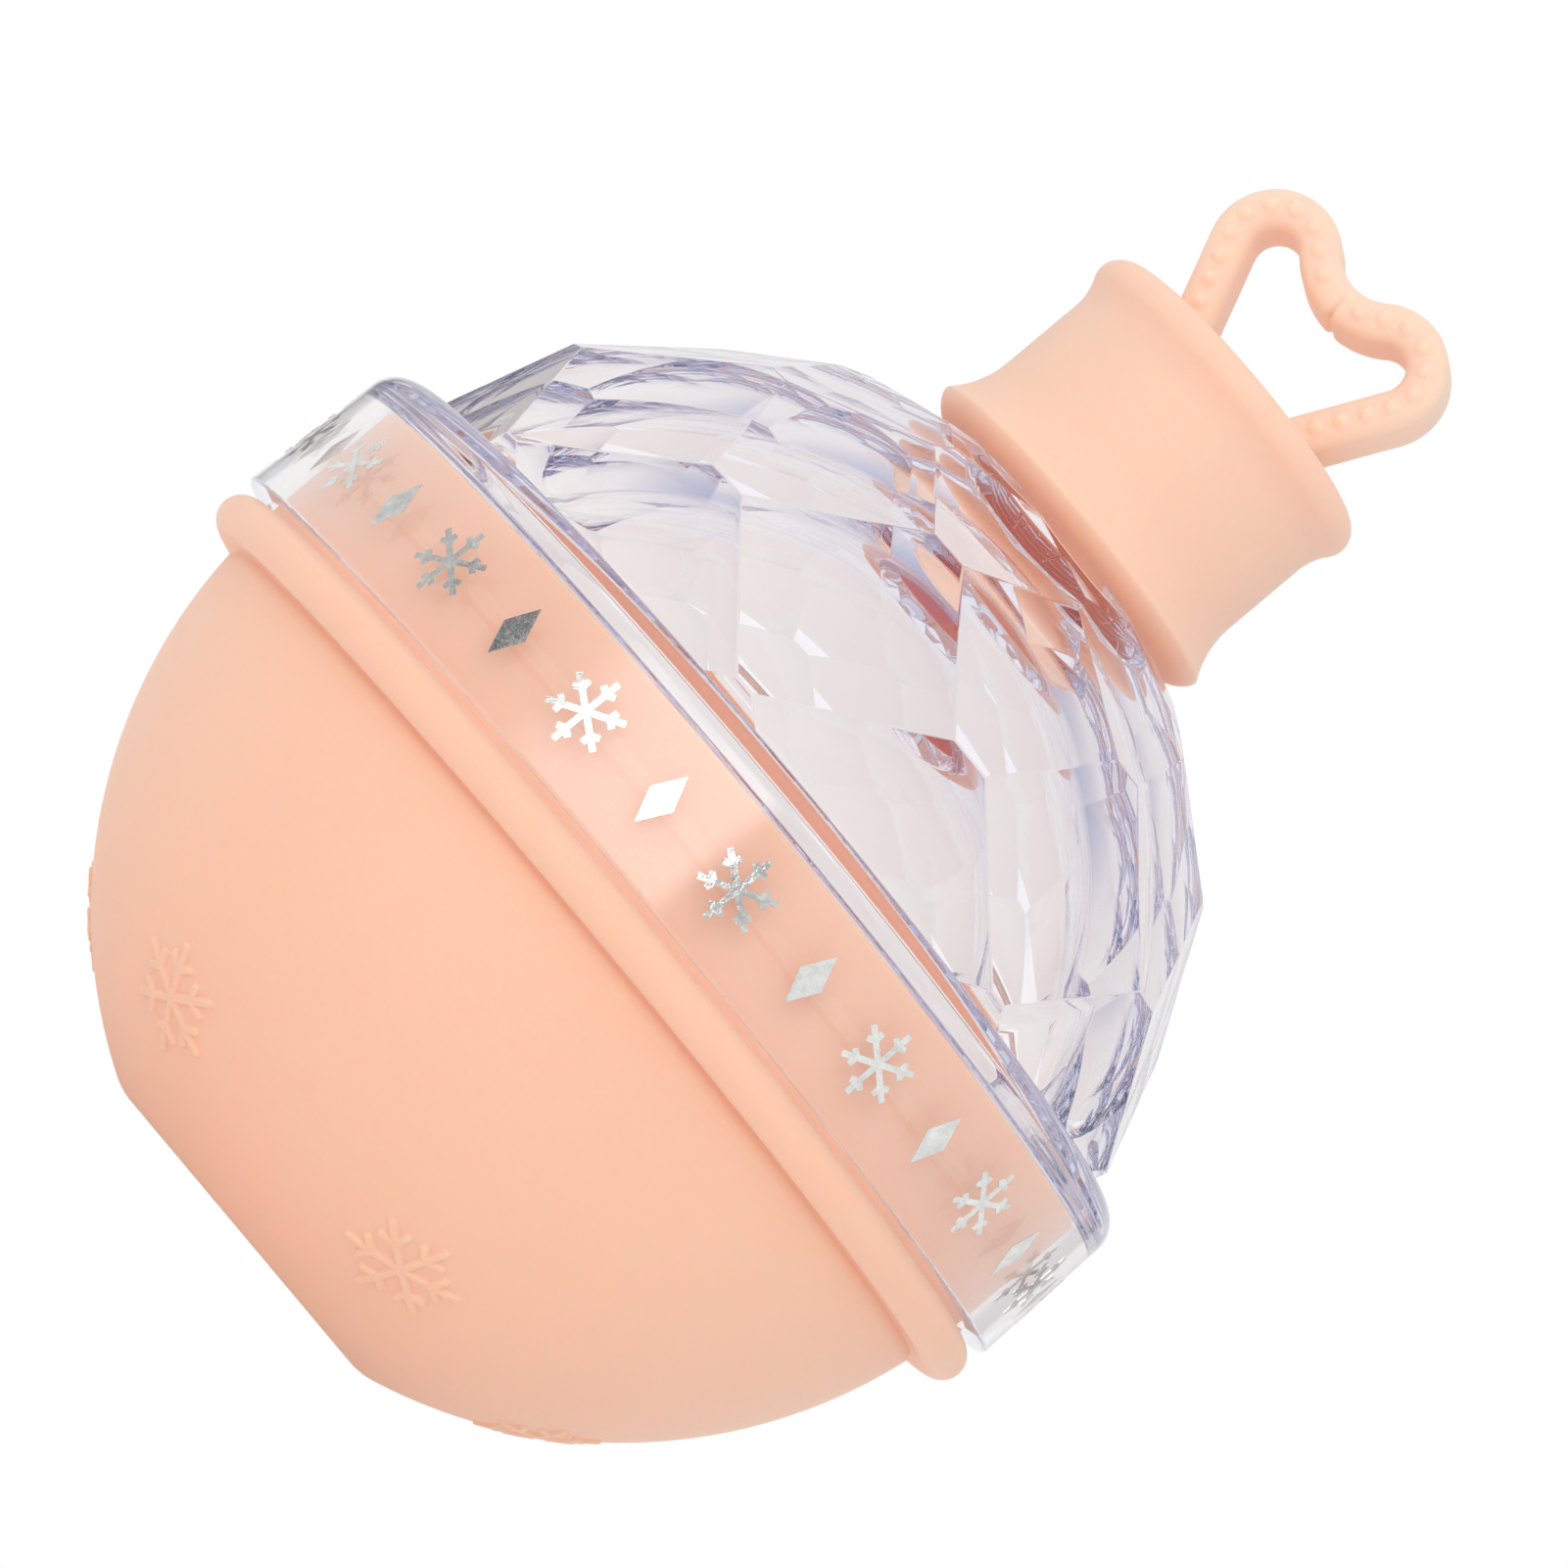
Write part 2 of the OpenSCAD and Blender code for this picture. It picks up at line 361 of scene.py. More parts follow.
def clear_material():
    """Clear hard plastic with a faint lavender tint where it is thick. Lamps and soft light
    reach what lies behind it."""
    material, tree, shader = new_material("clear_plastic_tinted")
    flow = add_noise(tree, scale=45, detail=2)
    tree.links.new(ramp(tree, flow, *CLEAR), shader.inputs["Base Color"])
    haze = add_noise(tree, scale=300, detail=3)
    tree.links.new(to_range(tree, haze, 0.0, 0.03), shader.inputs["Roughness"])
    shader.inputs["IOR"].default_value = 1.5
    shader.inputs["Transmission Weight"].default_value = 1.0
    add_bump(tree, shader, flow, depth=0.0002, strength=0.12)
    through = tree.nodes.new("ShaderNodeBsdfTransparent")
    through.inputs["Color"].default_value = (0.995, 0.995, 1.0, 1)
    either = tree.nodes.new("ShaderNodeMixShader")
    tree.links.new(any_ray(tree, "Is Shadow Ray", "Is Diffuse Ray"), either.inputs["Fac"])
    tree.links.new(shader.outputs["BSDF"], either.inputs[1])
    tree.links.new(through.outputs["BSDF"], either.inputs[2])
    absorb = tree.nodes.new("ShaderNodeVolumeAbsorption")
    absorb.inputs["Color"].default_value = (*CLEAR_DEPTH, 1)
    absorb.inputs["Density"].default_value = CLEAR_DENSITY
    output = tree.nodes["Material Output"]
    tree.links.new(either.outputs["Shader"], output.inputs["Surface"])
    tree.links.new(absorb.outputs["Volume"], output.inputs["Volume"])
    return material


def foil_material():
    """Hot-stamped silver foil, mirror bright with fine wrinkles and thin spots."""
    material, tree, shader = new_material("silver_foil")
    wrinkle = add_noise(tree, scale=700, detail=5, roughness=0.65)
    tree.links.new(ramp(tree, wrinkle, *SILVER), shader.inputs["Base Color"])
    tree.links.new(to_range(tree, wrinkle, 0.08, 0.28), shader.inputs["Roughness"])
    shader.inputs["Metallic"].default_value = 1.0
    add_bump(tree, shader, wrinkle, depth=0.0002, strength=0.35)
    return material


bowl_silicone = silicone_material("peach_silicone", BOWL_PEACH)
heart_silicone = silicone_material("lit_pale_peach_silicone", LIT_HEART_PEACH)
# The cap's lip is painted deeper orange low down: painted shade and glow
cap_silicone = silicone_material(
    "lit_peach_silicone", LIT_CAP_PEACH, (LIP_SHADE_TINT, SEAT_Z, SEAT_Z + LIP_SHADE_HEIGHT)
)
# The bore ends below the cap's top, so its painted shade, a deep red, covers it all over
bore_silicone = silicone_material("shaded_bore_silicone", LIT_CAP_PEACH, (BORE_SHADE_TINT, CAP_Z, CAP_Z + 1))
clear = clear_material()
foil = foil_material()


# Bowl

FOOT_ROUND = 5.0
FOOT_SKIP = 1.7  # degrees of the side that the foot's rounding takes up
CREASE_IN = 0.4  # the crease under the bead cuts this far in
CREASE_UP = 0.2
CREASE_SKIP = 0.8  # degrees of the side that the crease takes up
COLLAR_FILLET = 0.3
COLLAR_EDGE_OUT = 0.5  # roundings of the collar's rim
COLLAR_EDGE_IN = 0.4
COLLAR_TIP = 1.6  # the round inside starts this far under the rim
COLLAR_SPREAD = 0.3  # how much wider it is there
RIB_EDGE = 0.2
RIB_FOOT = 0.25  # the rib's slopes start this far outside its height
RIB_TOP = 0.1  # and end this far inside it
SIDE_STEPS = 72
BEAD_STEPS = 24
INSIDE_STEPS = 72


def bowl_profile():
    """(r, z) outline of the bowl from the middle of its foot to the middle of its inside."""
    bead_low = BEAD_TOP - BEAD_H
    bead_mid = (BAND_R - BEAD_ROUND, BEAD_TOP - BEAD_ROUND)
    crease_r = math.sqrt(BOWL_R**2 - (bead_low - BOWL_Z) ** 2)
    foot_angle = math.degrees(math.atan2(-BOWL_Z, FOOT_R))
    crease_angle = math.degrees(math.atan2(bead_low - BOWL_Z, crease_r))
    side = arc((0, BOWL_Z), BOWL_R, foot_angle + FOOT_SKIP, crease_angle - CREASE_SKIP, SIDE_STEPS)
    foot = softened([(0, 0, 0), (FOOT_R, 0, FOOT_ROUND), (*side[0], 0)])
    crease = softened(
        [
            (*side[-1], 0),
            (crease_r - CREASE_IN, bead_low + CREASE_UP, CREASE_UP),
            (bead_mid[0], bead_low, 0),
        ]
    )
    bead = arc(bead_mid, BEAD_ROUND, -90, 90, BEAD_STEPS)
    rib_r = COLLAR_R + RIB_OUT
    rib_low, rib_high = RIB_Z - RIB_H / 2, RIB_Z + RIB_H / 2
    rim_r = math.sqrt(BALL_R**2 - COLLAR_RISE**2)
    rim_z = COLLAR_Z - AIR
    collar = softened(
        [
            (bead_mid[0], BEAD_TOP, 0),
            (COLLAR_R, BEAD_TOP, COLLAR_FILLET),
            (COLLAR_R, rib_low - RIB_FOOT, RIB_EDGE),
            (rib_r, rib_low + RIB_TOP, RIB_EDGE),
            (rib_r, rib_high - RIB_TOP, RIB_EDGE),
            (COLLAR_R, rib_high + RIB_FOOT, RIB_EDGE),
            (COLLAR_R, rim_z, COLLAR_EDGE_OUT),
            (rim_r, rim_z, COLLAR_EDGE_IN),
            (rim_r + COLLAR_SPREAD, COLLAR_Z - COLLAR_TIP, 0),
        ]
    )
    inside_angle = math.degrees(math.asin((COLLAR_RISE - COLLAR_TIP) / BALL_R))
    inside = arc((0, BALL_Z), BALL_R, inside_angle, -90, INSIDE_STEPS)
    return foot + side[1:] + crease[1:] + bead[1:-1] + collar + inside[1:]


# Raised flakes low round the bowl

EMBOSS_COUNT = 6
EMBOSS_ANGLE = 38.5  # of the first one, from the front
EMBOSS_Z = 6.4  # height of their middles
EMBOSS_R = 4.0
EMBOSS_HALF = 0.42  # half the width of a ridge
EMBOSS_FLANK = 0.22  # width of a ridge's slope
EMBOSS_H = 0.26
EMBOSS_BARB_AT = 0.55  # share of the arm where its barbs start
EMBOSS_BARB = 0.28  # share of the arm
EMBOSS_BARB_LEAN = 55
EMBOSS_CUTS = 6  # finer mesh under a flake
EMBOSS_SPARE = 0.5  # width of the finer mesh beside a ridge
NEAR_SIDE = 0.1  # points this close to the bowl's ball lie on its outside


def flake_strokes():
    """Six-armed flake as straight strokes ((u, v), (u, v))."""
    strokes = []
    for k in range(ARMS):
        angle = 90 + 360 * k / ARMS
        strokes.append(((0, 0), turn(EMBOSS_R, 0, angle)))
        start = turn(EMBOSS_BARB_AT * EMBOSS_R, 0, angle)
        for side in (-1, 1):
            barb = turn(EMBOSS_BARB * EMBOSS_R, 0, angle + side * EMBOSS_BARB_LEAN)
            strokes.append((start, (start[0] + barb[0], start[1] + barb[1])))
    return strokes


def stroke_distance(u, v, stroke):
    """Distance of the point (u, v) from a stroke's middle line."""
    (u0, v0), (u1, v1) = stroke
    du, dv = u1 - u0, v1 - v0
    t = max(0.0, min(1.0, ((u - u0) * du + (v - v0) * dv) / (du * du + dv * dv)))
    return math.hypot(u - u0 - t * du, v - v0 - t * dv)


def raise_flakes(bm):
    """Raises six-armed flakes on the bowl's round side, in a finer mesh under each."""
    middle = Vector((0, 0, BOWL_Z))
    down = math.asin((EMBOSS_Z - BOWL_Z) / BOWL_R)
    strokes = flake_strokes()
    border = EMBOSS_HALF + EMBOSS_SPARE
    reach = EMBOSS_R + border
    for i in range(EMBOSS_COUNT):
        a = math.radians(EMBOSS_ANGLE + 360 * i / EMBOSS_COUNT)
        out = Vector((math.sin(a) * math.cos(down), -math.cos(a) * math.cos(down), math.sin(down)))
        east = Vector((math.cos(a), math.sin(a), 0))
        north = out.cross(east)
        centre = middle + out * BOWL_R

        def from_stroke(point):
            """Distance from the nearest stroke, or the flake's reach where that is far off."""
            ray = point - middle
            if (point - centre).length > reach or abs(ray.length - BOWL_R) > NEAR_SIDE:
                return reach
            return min(stroke_distance(ray.dot(east), ray.dot(north), s) for s in strokes)

        faces = [f for f in bm.faces if from_stroke(f.calc_center_median()) < border]
        edges = list(dict.fromkeys(e for f in faces for e in f.edges))
        bmesh.ops.subdivide_edges(bm, edges=edges, cuts=EMBOSS_CUTS, use_grid_fill=True)
        bmesh.ops.poke(bm, faces=[f for f in bm.faces if len(f.verts) > 4])
        for v in bm.verts:
            near = from_stroke(v.co)
            if near < border:
                t = max(0.0, min(1.0, (EMBOSS_HALF - near) / EMBOSS_FLANK))
                rise = EMBOSS_H * t * t * (3 - 2 * t)
                v.co = middle + (v.co - middle).normalized() * (BOWL_R + rise)


bowl_bm = lathe_bmesh(bowl_profile())
raise_flakes(bowl_bm)
bowl = add_piece("bowl_skin", bowl_bm, bowl_silicone, "bowl")
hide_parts("silicone_bowl")


# Clear dome

FACET_EDGE = 0.14  # rounding of the facets' edges
FACET_EDGE_STEPS = 2
LEVEL = 0.999  # least height of a level face's normal
BAND_EDGE = 0.25
BAND_FILLET = 0.3
MOUTH_EDGE = 0.4
CORNER_STEPS = 16
DOME_STEPS = 64
FLAT_WEIGHT = 90  # how much the large facets count in smoothed normals


def facet_planes():
    """Every facet as (point, outward normal): the small ones under the lowest corners,
    the lowest row, then the rows that touch the facets' ball."""
    half = 180 / FACET_COUNT
    lean = math.radians(FACET_LEAN)
    tip = math.radians(TIP_LEAN)
    tip_up = SHOULDER_Z + TIP_RISE - FACET_Z
    tip_r = (FACET_R - tip_up * math.sin(lean)) / math.cos(lean)
    rows = [
        (-TIP_LEAN, tip_r * math.cos(tip) - tip_up * math.sin(tip), 0),
        (SIDE_LEAN, FACET_R - SIDE_CUT, half),
    ]
    rows += [(FACET_LEAN + k * FACET_STEP, FACET_R, k % 2 * half) for k in range(FACET_ROWS)]
    planes = []
    for row_lean, reach, shift in rows:
        e = math.radians(row_lean)
        for i in range(FACET_COUNT):
            a = math.radians(FACET_TURN - 90 + shift + 2 * half * i)
            normal = Vector((math.cos(e) * math.cos(a), math.cos(e) * math.sin(a), math.sin(e)))
            planes.append((normal * reach + Vector((0, 0, FACET_Z)), normal))
    return planes


def facet_bmesh():
    """Faceted side of the dome between the shoulder and the cap's seat, open at both ends,
    with its edges slightly rounded as a mould leaves them."""
    bm = bmesh.new()
    width = 3 * BAND_R  # well outside every facet
    height = SEAT_Z - SHOULDER_Z
    bmesh.ops.create_cube(bm, size=1)
    bmesh.ops.scale(bm, vec=(width, width, height), verts=bm.verts)
    bmesh.ops.translate(bm, vec=(0, 0, SHOULDER_Z + height / 2), verts=bm.verts)
    for point, normal in facet_planes():
        cut = bmesh.ops.bisect_plane(
            bm, geom=all_of(bm), plane_co=point, plane_no=normal, clear_outer=True, dist=ON_PLANE
        )
        edges = [e for e in cut["geom_cut"] if isinstance(e, bmesh.types.BMEdge)]
        if edges:
            bmesh.ops.contextual_create(bm, geom=edges)

    def is_end(face):
        return abs(face.normal.z) > LEVEL

    bm.normal_update()
    ridges = [e for e in bm.edges if not any(is_end(f) for f in e.link_faces)]
    bmesh.ops.bevel(
        bm,
        geom=ridges,
        offset=FACET_EDGE,
        offset_type="OFFSET",
        segments=FACET_EDGE_STEPS,
        profile=0.5,
        affect="EDGES",
    )
    bm.normal_update()
    bmesh.ops.delete(bm, geom=[f for f in bm.faces if is_end(f)], context="FACES_ONLY")
    return bm


def shell_profile():
    """(r, z) path of the dome's turned faces: shoulder corner, band, inside, neck."""
    corner = arc((SHOULDER_R - SHOULDER_ROUND, CORNER_Z), SHOULDER_ROUND, 90, 0, CORNER_STEPS)
    bore = NECK_BORE / 2
    ball_top = math.degrees(math.acos(bore / BALL_R))
    rim = math.degrees(math.asin(COLLAR_RISE / BALL_R))
    rim_r = BALL_R * math.cos(math.radians(rim))
    band = softened(
        [
            (*corner[-1], 0),
            (BAND_R, BAND_Z, BAND_EDGE),
            (BAND_IN, BAND_Z, BAND_EDGE),
            (BAND_IN, COLLAR_Z, BAND_FILLET),
            (rim_r, COLLAR_Z, 0),
        ]
    )
    ball = arc((0, BALL_Z), BALL_R, rim, ball_top, DOME_STEPS)
    neck = softened(
        [
            (*ball[-1], 0),
            (bore, NECK_Z, MOUTH_EDGE),
            (NECK_R, NECK_Z, MOUTH_EDGE),
            (NECK_R, SEAT_Z, 0),
        ]
    )
    return corner + band[1:] + ball[1:] + neck[1:]


def dome_bmesh():
    """Turned shell and faceted side, joined by the flat shoulder and the cap's flat seat."""
    bm = lathe_bmesh(shell_profile(), closed=False)
    join(bm, facet_bmesh())
    for z in (SHOULDER_Z, SEAT_Z):
        edges = [
            e
            for e in bm.edges
            if e.is_boundary and all(abs(v.co.z - z) < ON_LEVEL for v in e.verts)
        ]
        bmesh.ops.triangle_fill(bm, use_beauty=True, edges=edges, normal=(0, 0, 1))
    return bm


dome = add_piece("dome_shell", dome_bmesh(), clear, "dome")
dome.modifiers.new("facet_normals", "WEIGHTED_NORMAL").weight = FLAT_WEIGHT
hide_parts("clear_dome")


# Cap

LIP_EDGE = 0.3
LIP_SKIP = 8  # degrees of the lip's underside that its edge takes up
FLARE_SKIP = 3  # degrees of the hollow above it
BORE_EDGE = 0.25
ROOF_EDGE = 0.5
BORE_STEP = 1.0  # between the two rings halfway up the bore
BORE_SPARE = 0.1  # faces this close to the bore belong to it
TOP_RINGS = (0.8, 0.6, 0.4, 0.2)  # rings of the flat top, as shares of the rim's radius
UNDER_STEPS = 10
FLARE_STEPS = 16
HOLLOW_STEPS = 14
RIM_STEPS = 18


def cap_profile():
    """Closed (r, z) outline of the spool-shaped cap, above the cap's seat."""
    rim_mid = (RIM_R - RIM_ROUND, CAP_H - RIM_ROUND)
    rim_hollow_r = WAIST_R + RIM_FLARE
    rim_hollow = (
        rim_hollow_r,
        rim_mid[1] - math.sqrt((RIM_FLARE + RIM_ROUND) ** 2 - (rim_hollow_r - rim_mid[0]) ** 2),
    )
    lip_mid = LIP_R - math.sqrt(LIP_ROUND**2 - (LIP_ROUND - LIP_H) ** 2)
    lip_hollow = (
        WAIST_R + LIP_FLARE,
        LIP_H + math.sqrt(LIP_FLARE**2 - (LIP_FLARE - LIP_OUT) ** 2),
    )
    meet = math.degrees(math.atan2(rim_hollow[1] - rim_mid[1], rim_hollow[0] - rim_mid[0]))
    under_end = math.degrees(math.atan2(LIP_H - LIP_ROUND, LIP_R - lip_mid))
    flare_start = math.degrees(math.atan2(LIP_H - lip_hollow[1], LIP_R - lip_hollow[0])) % 360
    under = arc((lip_mid, LIP_ROUND), LIP_ROUND, -90, under_end - LIP_SKIP, UNDER_STEPS)
    flare = arc(lip_hollow, LIP_FLARE, flare_start - FLARE_SKIP, 180, FLARE_STEPS)
    lip_edge = softened([(*under[-1], 0), (LIP_R, LIP_H, LIP_EDGE), (*flare[0], 0)])
    hollow = arc(rim_hollow, RIM_FLARE, 180, 180 + meet, HOLLOW_STEPS)
    rim = arc(rim_mid, RIM_ROUND, meet, 90, RIM_STEPS)
    roof = CAP_H - CAP_ROOF
    bore_low = [(CAP_BORE, roof / 2, 0), (CAP_BORE, 0, BORE_EDGE), (*under[0], 0)]
    bore_high = [
        (CAP_BORE / 2, roof, 0),
        (CAP_BORE, roof, ROOF_EDGE),
        (CAP_BORE, roof / 2 + BORE_STEP, 0),
    ]
    return (
        softened(bore_low)
        + under[1:-1]
        + lip_edge
        + flare[1:]
        + hollow
        + rim[1:]
        + [(share * RIM_R, CAP_H) for share in TOP_RINGS]
        + [(0, CAP_H), (0, roof)]
        + softened(bore_high)
    )


cap_bm = lathe_bmesh(cap_profile())
for v in cap_bm.verts:
    v.co.z = SEAT_Z + max(v.co.z, AIR)
cap = add_piece("cap_skin", cap_bm, cap_silicone, "cap")
# The bore's faces take the material with the painted red shade
cap.data.materials.append(bore_silicone)
for face in cap.data.polygons:
    in_bore = face.center.xy.length < (CAP_BORE + BORE_SPARE) * MM
    if in_bore and face.center.z < (CAP_Z - CAP_ROOF / 2) * MM:
        face.material_index = 1
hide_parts("neck_cap")


# Heart loop

BEND_STEP = 2  # degrees between two points of a bend
RING_STEP = 0.12  # longest distance between two rings
STRIP_ROUND = 1.2  # softer than the solid's
CREASE_DEPTH = 0.3
CREASE_HALF = 0.4
CREASE_X = 0.35  # the crease lies a little right of the middle
CREASE_FADE = 0.4  # where it ends, in strip widths outward from the middle
CREASE_STEPS = 6  # rings in half the crease's width
FOOT_SINK = 0.3  # the legs' ends lie inside the cap's roof
LEG_STEPS = 12
FLAT_STEPS = 4  # across the flat front and back
EDGE_STEPS = 14  # round each corner of the section
DOT_R = 0.62
DOT_H = 0.34
DOT_PITCH = 1.75
DOT_FIRST = 1.9  # from the middle of the dip to the first dot


def heart_path():
    """Middle line of the strip as (x, z, outward x, outward z), from right foot to left foot."""
    lobe_x = HEART_W / 2 - STRIP_W / 2 - LOBE_R
    lobe_z = HEART_H - STRIP_W / 2 - LOBE_R
    rise = LOBE_R - DIP
    dip_r = (lobe_x**2 + rise**2 - LOBE_R**2) / (2 * (LOBE_R - rise))
    leg_x = LEGS_APART / 2
    lean = math.degrees(
        math.asin(LOBE_R / math.hypot(lobe_x - leg_x, lobe_z)) + math.atan2(lobe_x - leg_x, lobe_z)
    )
    dip_turn = math.degrees(math.atan2(lobe_x, rise + dip_r))

    def bend(cx, cz, radius, start, end):
        steps = math.ceil(abs(end - start) / BEND_STEP)
        angles = [math.radians(start + (end - start) * i / steps) for i in range(steps + 1)]
        return [
            (cx + radius * math.cos(a), cz + radius * math.sin(a), math.cos(a), math.sin(a))
            for a in angles
        ]

    lobe = bend(lobe_x, lobe_z, LOBE_R, -lean, 90 + dip_turn)
    dip = bend(0, lobe_z + rise + dip_r, -dip_r, 90 + dip_turn, 90 - dip_turn)
    top_x, top_z, *out = lobe[0]
    foot_x, foot_z = leg_x - FOOT_SINK * math.tan(math.radians(lean)), -FOOT_SINK
    leg = [
        (foot_x + (top_x - foot_x) * t, foot_z + (top_z - foot_z) * t, *out)
        for t in (i / LEG_STEPS for i in range(LEG_STEPS))
    ]
    right = leg + lobe
    left = [(-x, z, -ox, oz) for x, z, ox, oz in reversed(right)]
    return right + dip[1:-1] + left


def along(path):
    """Distance of each path point from the first."""
    distances = [0.0]
    for a, b in zip(path, path[1:]):
        distances.append(distances[-1] + math.hypot(b[0] - a[0], b[1] - a[1]))
    return distances


def at_distance(path, distances, s):
    """Path point at a distance along it."""
    for i in range(len(path) - 1):
        if distances[i + 1] >= s:
            t = (s - distances[i]) / (distances[i + 1] - distances[i])
            return [a + (b - a) * t for a, b in zip(path[i], path[i + 1])]
    return list(path[-1])


def strip_section():
    """Soft-edged section of the strip as (across, depth) points."""
    flat, t = STRIP_W / 2 - STRIP_ROUND, STRIP_T / 2
    corners = ((1, 1, 0), (-1, 1, 90), (-1, -1, 180), (1, -1, 270))
    points = []
    for sx, sy, start in corners:
        centre = (sx * flat, sy * (t - STRIP_ROUND))
        points += arc(centre, STRIP_ROUND, start, start + 90, EDGE_STEPS)
        if sx * sy > 0:
            points += [(sx * flat * (1 - 2 * k / FLAT_STEPS), sy * t) for k in range(1, FLAT_STEPS)]
    return points


def dot_places(path, distances):
    """Middle (x, z) of each dot along the strip, outward from the dip on both sides."""
    middle = distances[-1] / 2
    places = []
    s = DOT_FIRST
    while s < middle - FOOT_SINK - 2 * DOT_R:
        places += [at_distance(path, distances, middle + side * s)[:2] for side in (-1, 1)]
        s += DOT_PITCH
    return places


def ring_places(length, crease):
    """Distances along the strip at which it has a ring, closer together at the crease."""
    count = math.ceil(length / RING_STEP)
    places = [length * k / count for k in range(count + 1)]
    places = [s for s in places if abs(s - crease) > 2 * CREASE_HALF]
    steps = 2 * CREASE_STEPS
    places += [crease + CREASE_HALF * k / CREASE_STEPS for k in range(-steps, steps + 1)]
    return sorted(places)


def heart_bmesh():
    """The strip swept along the heart, with the crease beside the middle of the dip and low
    round dots along its front and back."""
    path = heart_path()
    distances = along(path)
    dots = dot_places(path, distances)
    crease_at = distances[-1] / 2 - CREASE_X
    section = strip_section()
    bm = bmesh.new()
    rings = []
    for s in ring_places(distances[-1], crease_at):
        x, z, ox, oz = at_distance(path, distances, s)
        crease = CREASE_DEPTH * math.exp(-(((s - crease_at) / (CREASE_HALF / 2)) ** 2))
        ring = []
        for across, depth in section:
            pinch = crease * max(0.0, CREASE_FADE - across / STRIP_W)
            across += pinch
            depth -= math.copysign(pinch, depth)
            px, pz = x + across * ox, z + across * oz
            near = min(math.hypot(px - u, pz - v) for u, v in dots)
            depth += math.copysign(DOT_H * max(0.0, 1 - (near / DOT_R) ** 2), depth)
            ring.append(bm.verts.new((px, depth, CAP_Z + pz)))
        rings.append(ring)
    for a, b in zip(rings, rings[1:]):
        for i in range(len(a)):
            j = (i + 1) % len(a)
            bm.faces.new((a[i], a[j], b[j], b[i]))
    bm.faces.new(rings[0])
    bm.faces.new(rings[-1])
    return bm


heart = add_piece("heart_strip", heart_bmesh(), heart_silicone, "cap")
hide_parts("heart_loop")


# Silver foil marks on the band

MARK_COUNT = 32
MARK_Z = 37.6
FLAKE_R = 2.7
FLAKE_HALF = 0.22  # half the width of an arm
BARB_AT = 0.6  # share of the arm where its barbs start
BARB_LONG = 0.24  # share of the arm
BARB_LEAN = 60
LOZENGE_W = 2.2
LOZENGE_H = 4.4
FOIL_SINK = 0.02
FOIL_LIFT = 0.04
FOIL_STEP = 0.4  # widest strip of foil that is left flat
FOIL_SHARP = 30  # edges that turn more than this stay sharp


def band_point(angle, u, z, lift):
    """A point on the band's outside: u runs round it from an angle from the front."""
    r = BAND_R - BAND_DRAFT * (z - BAND_Z) / (CORNER_Z - BAND_Z) + lift
    a = math.radians(angle) + u / r
    return r * math.sin(a), -r * math.cos(a), z


def flake_outline():
    """Outline of a six-armed flake with a pair of barbs on each arm."""
    lean = math.radians(BARB_LEAN)
    half = FLAKE_HALF
    root = BARB_AT * FLAKE_R
    along_it, across = math.cos(lean), math.sin(lean)
    lower = (half - half * along_it) / across
    upper = (half + half * along_it) / across
    end = BARB_LONG * FLAKE_R
    side = [
        (root - across * half + lower * along_it, half),
        (root - across * half + end * along_it, end * across + half * along_it),
        (root + across * half + end * along_it, end * across - half * along_it),
        (root + across * half + upper * along_it, half),
        (FLAKE_R, half),
    ]
    arm = [(half / math.tan(math.radians(180 / ARMS)), -half)]
    arm += [(a, -c) for a, c in side] + side[::-1]
    return [turn(a, c, 90 + 360 * k / ARMS) for k in range(ARMS) for a, c in arm]


def lozenge_outline():
    """Outline of an upright lozenge."""
    w, h = LOZENGE_W / 2, LOZENGE_H / 2
    return [(0, -h), (w, 0), (0, h), (-w, 0)]


def mark_bmesh(outline, angle):
    """One thin closed sheet of foil that follows the band's curve."""
    bm = bmesh.new()
    face = bm.faces.new([bm.verts.new((u, v, -FOIL_SINK)) for u, v in outline])
    face.normal_update()
    bmesh.ops.triangulate(bm, faces=[face])
    cuts = int(FLAKE_R / FOIL_STEP)
    for k in range(-cuts, cuts + 1):
        place = (k * FOIL_STEP, 0, 0)
        bmesh.ops.bisect_plane(
            bm, geom=all_of(bm), plane_co=place, plane_no=(1, 0, 0), dist=ON_PLANE
        )
    # The sides and the top are made by hand, because an extrusion's order varies between runs
    flat = bm.faces[:]
    rim = [e for e in bm.edges if e.is_boundary]
    above = {v: bm.verts.new((v.co.x, v.co.y, FOIL_LIFT)) for v in bm.verts[:]}
    for face in flat:
        bm.faces.new([above[v] for v in face.verts])
    for edge in rim:
        a, b = edge.verts
        bm.faces.new((a, b, above[b], above[a]))
    for v in bm.verts:
        v.co = band_point(angle, v.co.x, MARK_Z + v.co.y, v.co.z)
    return bm


def foil_bmesh():
    """Flakes and lozenges in turn round the band."""
    bm = bmesh.new()
    outlines = (flake_outline(), lozenge_outline())
    for i in range(MARK_COUNT):
        join(bm, mark_bmesh(outlines[i % 2], 360 * i / MARK_COUNT))
    return bm


marks = add_piece("foil_marks", foil_bmesh(), foil, "dome")
marks.data.set_sharp_from_angle(angle=math.radians(FOIL_SHARP))


# Floor, light and camera. Lengths here are in metres, and turns in degrees.

FLOOR_SIZE = 30.0
FLOOR_Z = -0.00002  # a hair under the foot
FLOOR_COLOUR = 0.6
FLOOR_GRAIN = 0.01
FLOOR_GLOW = 0.50  # towards the camera, mirrors and clear plastic
FLOOR_LIGHT = 0.35  # glow towards the rest, which lights the object from below
CAMERA_AZIMUTH = 17.0
CAMERA_DISTANCE = 0.6
CAMERA_SIDE = 0.000413
CAMERA_Z = 0.0001
CAMERA_PITCH = 4.477
CAMERA_ROLL = 50.007
CAMERA_CLIP = (0.01, 100)
FOCAL_PX = 9163.4  # focal length in pixels of the photograph
PHOTO_PX = 1601
SENSOR = 36.0  # millimetres
AMBIENT = 0.67
